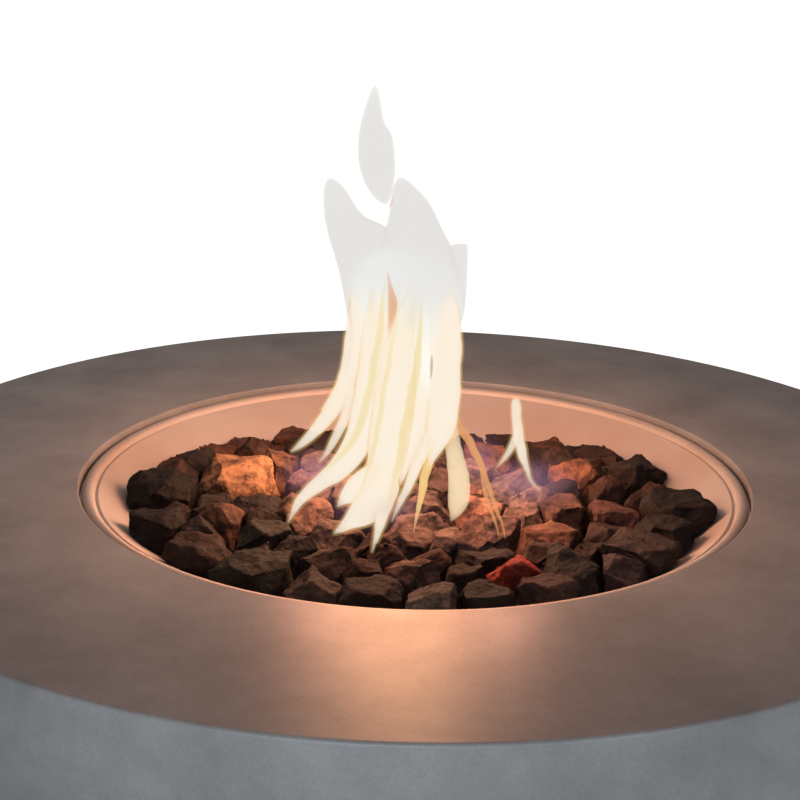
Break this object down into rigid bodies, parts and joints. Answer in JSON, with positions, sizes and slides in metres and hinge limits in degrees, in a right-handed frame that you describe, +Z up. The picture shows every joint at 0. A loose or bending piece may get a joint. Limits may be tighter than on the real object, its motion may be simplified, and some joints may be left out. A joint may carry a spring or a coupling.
{
  "type": "fire pit table",
  "caption": "Low round concrete fire pit table with a broad flat top, a recessed steel fire pan full of lava rock and a gas burner worked by a knob and push-button igniter at the front",
  "frame": {"origin": "on the ground under the centre of the round table", "axes": "+Z up, -Y out through the control panel at the front, +X to the right of someone who faces the panel"},
  "size_m": [1.08, 1.0796, 0.43],
  "materials": {
    "concrete": "smooth cast glass-fibre concrete, sealed to a soft sheen",
    "foot_rubber": "matte moulded rubber",
    "zinc_steel": "zinc plated",
    "gasket_fibre": "heat-proof fibre board",
    "stainless_steel": "spun or brushed stainless steel",
    "lava_rock": "rough porous basalt, some stones rusty red",
    "cast_mixer": "cast and painted grey",
    "brass": "machined",
    "aluminium": "plain",
    "black_plastic": "moulded heat-resistant plastic",
    "electrode_ceramic": "unglazed white",
    "copper_lead": "bare copper capillary",
    "lead_sleeve": "silicone sleeve over the ignition wire"
  },
  "bodies": {
    "table": {"concrete_bowl": "concrete", "rubber_feet": "foot_rubber", "foot_screws": "zinc_steel", "flange_gasket": "gasket_fibre", "fire_pan": "stainless_steel", "lava_rocks_centre": "lava_rock", "lava_rocks_front": "lava_rock", "lava_rocks_right": "lava_rock", "lava_rocks_back": "lava_rock", "lava_rocks_left": "lava_rock", "lava_rocks_lower": "lava_rock", "burner": "stainless_steel", "burner_nipple": "zinc_steel", "burner_locknuts": "zinc_steel", "mixer_tube": "cast_mixer", "orifice_fitting": "brass", "burner_gas_pipe": "aluminium", "gas_pipe_nuts": "brass", "control_panel": "stainless_steel", "panel_screws": "stainless_steel", "panel_inserts": "brass", "valve_body": "aluminium", "valve_cap": "zinc_steel", "cap_screws": "zinc_steel", "valve_screws": "zinc_steel", "inlet_fitting": "brass", "igniter_body": "black_plastic", "igniter_nut": "black_plastic", "pilot_bracket": "stainless_steel", "pilot_screws": "stainless_steel", "pilot_burner": "stainless_steel", "thermocouple": "stainless_steel", "electrode_insulator": "electrode_ceramic", "electrode_wire": "stainless_steel", "pilot_gas_pipe": "aluminium", "thermocouple_lead": "copper_lead", "ignition_lead": "lead_sleeve", "pilot_nuts": "brass"},
    "turning_plug": {"valve_plug": "brass"},
    "knob_and_stem": {"control_knob": "black_plastic", "valve_stem": "stainless_steel"},
    "igniter_push_button": {"igniter_button": "black_plastic"},
    "shutter": {"air_shutter": "stainless_steel", "shutter_screw": "brass"}
  },
  "joints": [
    {"name": "valve_turn", "type": "hinge", "parent": "table", "child": "turning_plug", "pos_m": [0.03, -0.508, 0.325], "axis": [0, -1, 0], "range_deg": [-90, 90]},
    {"name": "knob_push", "type": "slide", "parent": "turning_plug", "child": "knob_and_stem", "axis": [0, 1, 0], "range_m": [0, 0.004], "stiffness_N_per_m": 800},
    {"name": "igniter_push", "type": "slide", "parent": "table", "child": "igniter_push_button", "axis": [0, 1, 0], "range_m": [0, 0.005], "stiffness_N_per_m": 800},
    {"name": "air_shutter_turn", "type": "hinge", "parent": "table", "child": "shutter", "pos_m": [0, 0, 0.256], "axis": [0, 0, 1], "range_deg": [0, 90]}
  ]
}
